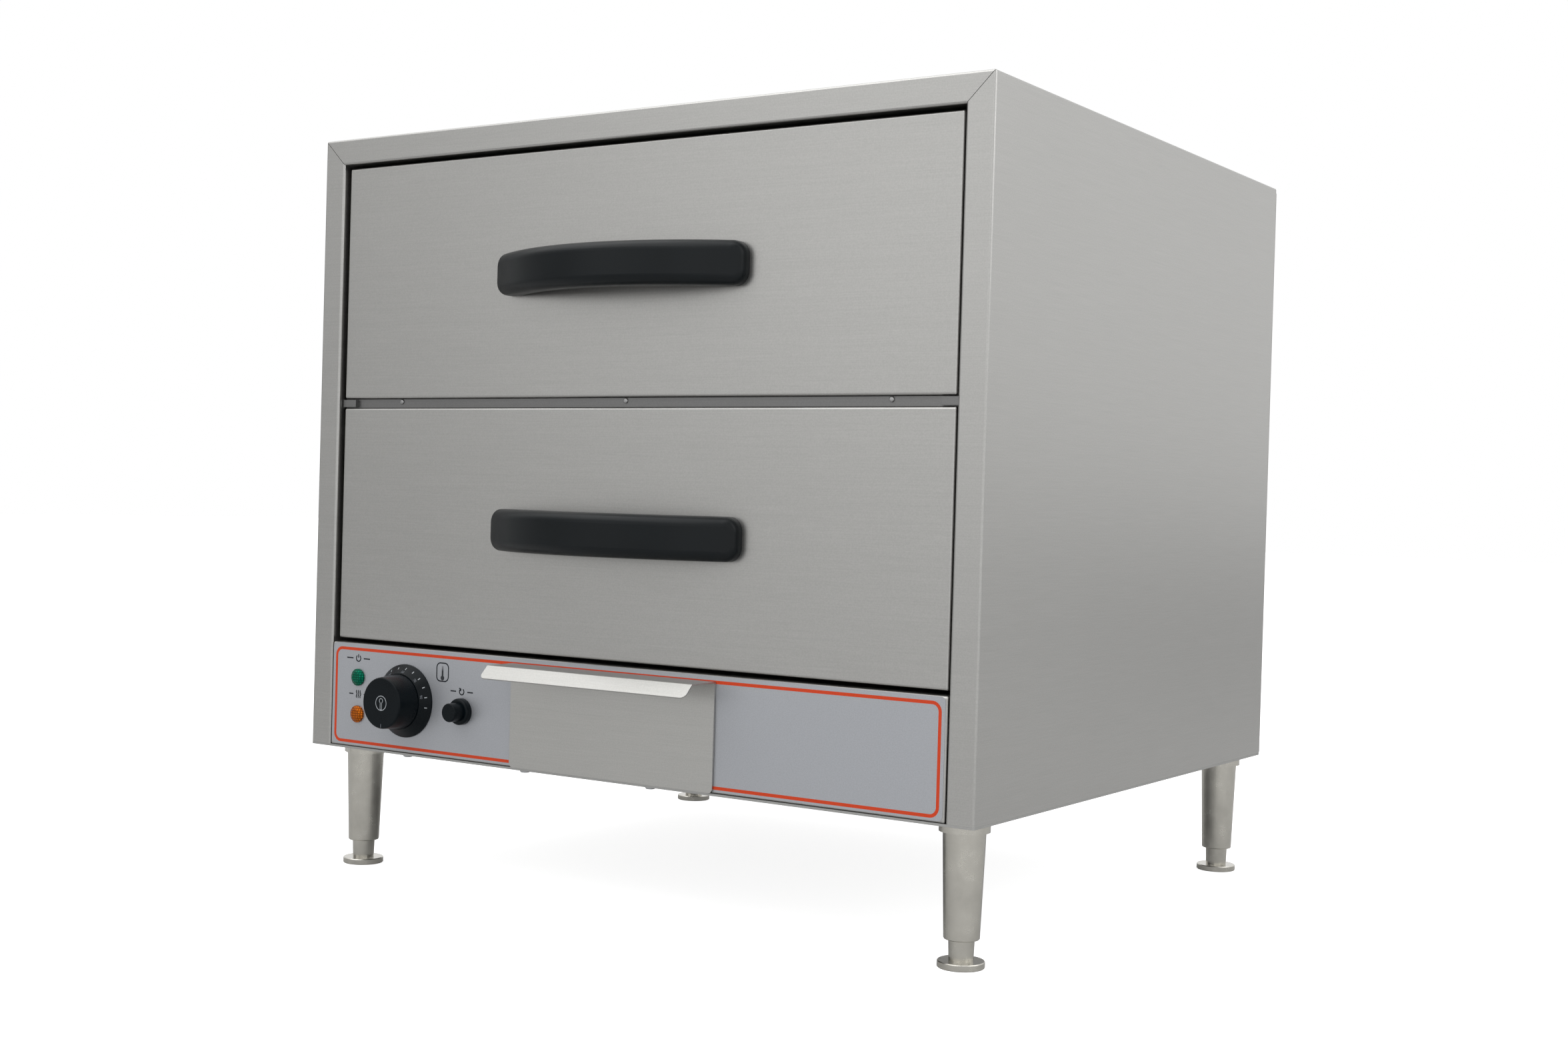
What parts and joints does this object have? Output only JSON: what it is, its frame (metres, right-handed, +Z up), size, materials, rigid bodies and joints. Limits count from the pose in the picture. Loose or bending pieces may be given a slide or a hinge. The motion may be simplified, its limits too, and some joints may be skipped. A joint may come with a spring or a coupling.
{
  "type": "warming drawer cabinet",
  "caption": "Countertop warming drawer cabinet on adjustable legs, with bow handles, lift-out pans, a pull-out water tray and a thermostat dial.",
  "frame": {"origin": "centre of the bounding box's base, on the surface that the feet stand on", "axes": "+X to the right of someone facing the drawers, +Y from the front to the back, +Z up"},
  "size_m": [0.7, 0.6676, 0.6759],
  "materials": {
    "brushed_steel_skin": "fine horizontal brushed grain",
    "rear_sheet": "plain mill-finish sheet",
    "liner_steel": "dull mill-finish sheet",
    "pan_steel": "satin drawn sheet",
    "zinc_slide": "bright zinc plating",
    "insulation": "matt glass-fibre board",
    "foil": "printed grey foil, satin",
    "black_plastic": "satin moulded",
    "handle_plastic": "satin moulded, blue black",
    "green_lens": "clear moulded, faceted",
    "amber_lens": "clear moulded, faceted",
    "nickel_leg": "satin nickel plated, turned",
    "fasteners": "bright zinc",
    "control_metal": "plated",
    "copper_tube": "drawn copper",
    "element_sheath": "heat-darkened sheath"
  },
  "bodies": {
    "cabinet": {"outer_wrap": "brushed_steel_skin", "back_panel": "rear_sheet", "back_screws": "fasteners", "base_plate": "rear_sheet", "base_screws": "fasteners", "cavity_liner": "liner_steel", "liner_back": "liner_steel", "insulation_boards": "insulation", "cavity_floor": "liner_steel", "middle_rail": "brushed_steel_skin", "control_panel": "brushed_steel_skin", "panel_overlay": "foil", "dial_bezel": "black_plastic", "thermostat_body": "control_metal", "thermostat_bulb": "copper_tube", "power_lens": "green_lens", "heat_lens": "amber_lens", "lamp_bodies": "black_plastic", "reset_collar": "black_plastic", "reset_limiter": "black_plastic", "reset_spring": "fasteners", "tray_guides": "liner_steel", "heating_element": "element_sheath", "element_brackets": "liner_steel", "terminal_block": "black_plastic", "cable_gland": "black_plastic", "leg_front_left": "nickel_leg", "leg_front_right": "nickel_leg", "leg_back_left": "nickel_leg", "leg_back_right": "nickel_leg", "leg_nuts": "fasteners", "upper_slide_outers": "zinc_slide", "lower_slide_outers": "zinc_slide"},
    "upper_drawer": {"upper_drawer_front": "brushed_steel_skin", "upper_front_cover": "liner_steel", "upper_drawer_frame": "liner_steel", "upper_food_pan": "pan_steel", "upper_handle_grip": "handle_plastic", "upper_handle_back": "handle_plastic", "upper_handle_screws": "fasteners", "upper_slide_inners": "zinc_slide"},
    "upper_slide_carriers": {"upper_slide_middles": "zinc_slide"},
    "lower_drawer": {"lower_drawer_front": "brushed_steel_skin", "lower_front_cover": "liner_steel", "lower_drawer_frame": "liner_steel", "lower_food_pan": "pan_steel", "lower_handle_grip": "handle_plastic", "lower_handle_back": "handle_plastic", "lower_handle_screws": "fasteners", "lower_slide_inners": "zinc_slide"},
    "lower_slide_carriers": {"lower_slide_middles": "zinc_slide"},
    "water_tray": {"tray_front": "brushed_steel_skin", "tray_pan": "pan_steel"},
    "thermostat_knob": {"knob": "black_plastic", "knob_shaft": "fasteners"},
    "reset_button_body": {"reset_button": "black_plastic"},
    "adjustable_foot_front_left": {"foot_front_left": "nickel_leg"},
    "adjustable_foot_front_right": {"foot_front_right": "nickel_leg"},
    "adjustable_foot_back_left": {"foot_back_left": "nickel_leg"},
    "adjustable_foot_back_right": {"foot_back_right": "nickel_leg"}
  },
  "joints": [
    {"name": "upper_drawer_slide", "type": "slide", "parent": "cabinet", "child": "upper_drawer", "axis": [0, -1, 0], "range_m": [0, 0.45]},
    {"name": "upper_slide_extension", "type": "slide", "parent": "cabinet", "child": "upper_slide_carriers", "axis": [0, -1, 0], "range_m": [0, 0.226]},
    {"name": "lower_drawer_slide", "type": "slide", "parent": "cabinet", "child": "lower_drawer", "axis": [0, -1, 0], "range_m": [0, 0.45]},
    {"name": "lower_slide_extension", "type": "slide", "parent": "cabinet", "child": "lower_slide_carriers", "axis": [0, -1, 0], "range_m": [0, 0.226]},
    {"name": "water_tray_slide", "type": "slide", "parent": "cabinet", "child": "water_tray", "axis": [0, -1, 0], "range_m": [0, 0.38]},
    {"name": "thermostat_turn", "type": "hinge", "parent": "cabinet", "child": "thermostat_knob", "pos_m": [-0.2304, -0.2901, 0.1626], "axis": [0, 1, 0], "range_deg": [0, 290]},
    {"name": "reset_press", "type": "slide", "parent": "cabinet", "child": "reset_button_body", "axis": [0, 1, 0], "range_m": [0, 0.003], "stiffness_N_per_m": 400, "springref_m": -0.002, "deforming": ["reset_spring"]},
    {"name": "foot_adjust_front_left", "type": "slide", "parent": "cabinet", "child": "adjustable_foot_front_left", "axis": [0, 0, -1], "range_m": [-0.012, 0.02]},
    {"name": "foot_adjust_front_right", "type": "slide", "parent": "cabinet", "child": "adjustable_foot_front_right", "axis": [0, 0, -1], "range_m": [-0.012, 0.02]},
    {"name": "foot_adjust_back_left", "type": "slide", "parent": "cabinet", "child": "adjustable_foot_back_left", "axis": [0, 0, -1], "range_m": [-0.012, 0.02]},
    {"name": "foot_adjust_back_right", "type": "slide", "parent": "cabinet", "child": "adjustable_foot_back_right", "axis": [0, 0, -1], "range_m": [-0.012, 0.02]}
  ],
  "couplings": [
    {"joint": "upper_slide_extension", "follows": "upper_drawer_slide", "ratio": 0.5},
    {"joint": "lower_slide_extension", "follows": "lower_drawer_slide", "ratio": 0.5}
  ]
}
